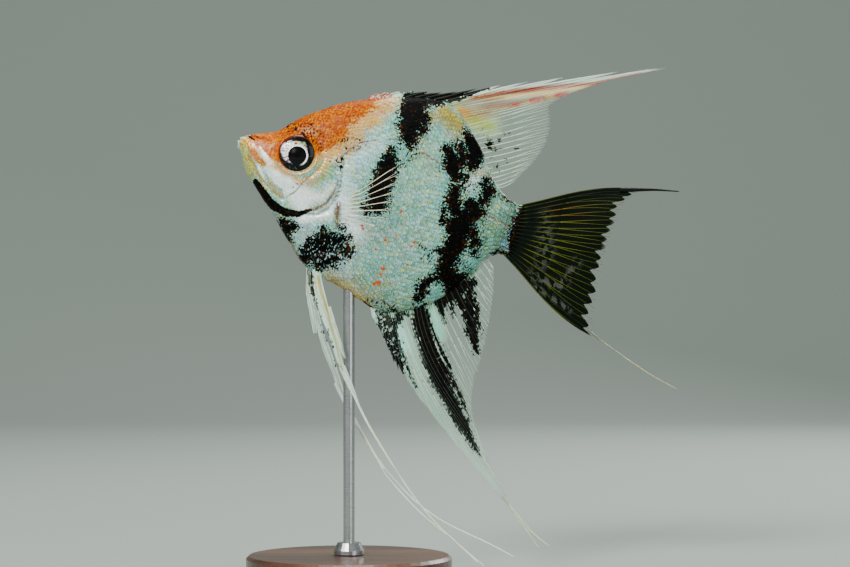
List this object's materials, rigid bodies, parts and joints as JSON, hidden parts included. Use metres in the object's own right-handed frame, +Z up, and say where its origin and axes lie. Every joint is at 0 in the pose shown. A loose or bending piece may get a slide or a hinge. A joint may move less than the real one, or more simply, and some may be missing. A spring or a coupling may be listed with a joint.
{
  "type": "freshwater angelfish",
  "caption": "Freshwater angelfish with orange cap, black blotches, see-through fins and long streamers, swimming nose up on a round wooden display stand.",
  "frame": {"origin": "centre of the stand's foot, on the floor", "axes": "+Z up; the fish faces -X with its nose pitched 18 degrees up; its right side faces +Y and its left side -Y"},
  "size_m": [0.1161, 0.054, 0.1328],
  "materials": {
    "skin": "painted, satin, pearly fish skin with a scale pattern",
    "head_skin": "painted, glossy, orange and cream head skin",
    "gill_cover": "painted, glossy, pearly gill cover",
    "clear_fin": "clear fin sheet with whitish rays",
    "dark_fin": "near-black fin sheet with yellow-green rays",
    "eye": "polished eye, black pupil and silver iris",
    "stand_wood": "dark stained, satin",
    "stand_steel": "brushed"
  },
  "bodies": {
    "root": {"trunk": "skin", "tail_stalk": "skin", "head": "head_skin", "lower_jaw": "head_skin", "gill_cover_left": "gill_cover", "gill_cover_right": "gill_cover", "eye_left": "eye", "eye_right": "eye", "dorsal_fin": "clear_fin", "anal_fin": "clear_fin", "tail_fin": "dark_fin", "pectoral_fin_left": "clear_fin", "pectoral_fin_right": "clear_fin", "pelvic_fin_left": "clear_fin", "pelvic_fin_right": "clear_fin", "pelvic_streamer_left_1": "clear_fin", "pelvic_streamer_left_2": "clear_fin", "pelvic_streamer_right_1": "clear_fin", "pelvic_streamer_right_2": "clear_fin", "pelvic_streamer_right_3": "clear_fin", "anal_streamer_1": "clear_fin", "anal_streamer_2": "clear_fin", "tail_streamer_upper": "dark_fin", "tail_streamer_lower": "clear_fin", "stand_base": "stand_wood", "stand_rod": "stand_steel"}
  },
  "joints": []
}
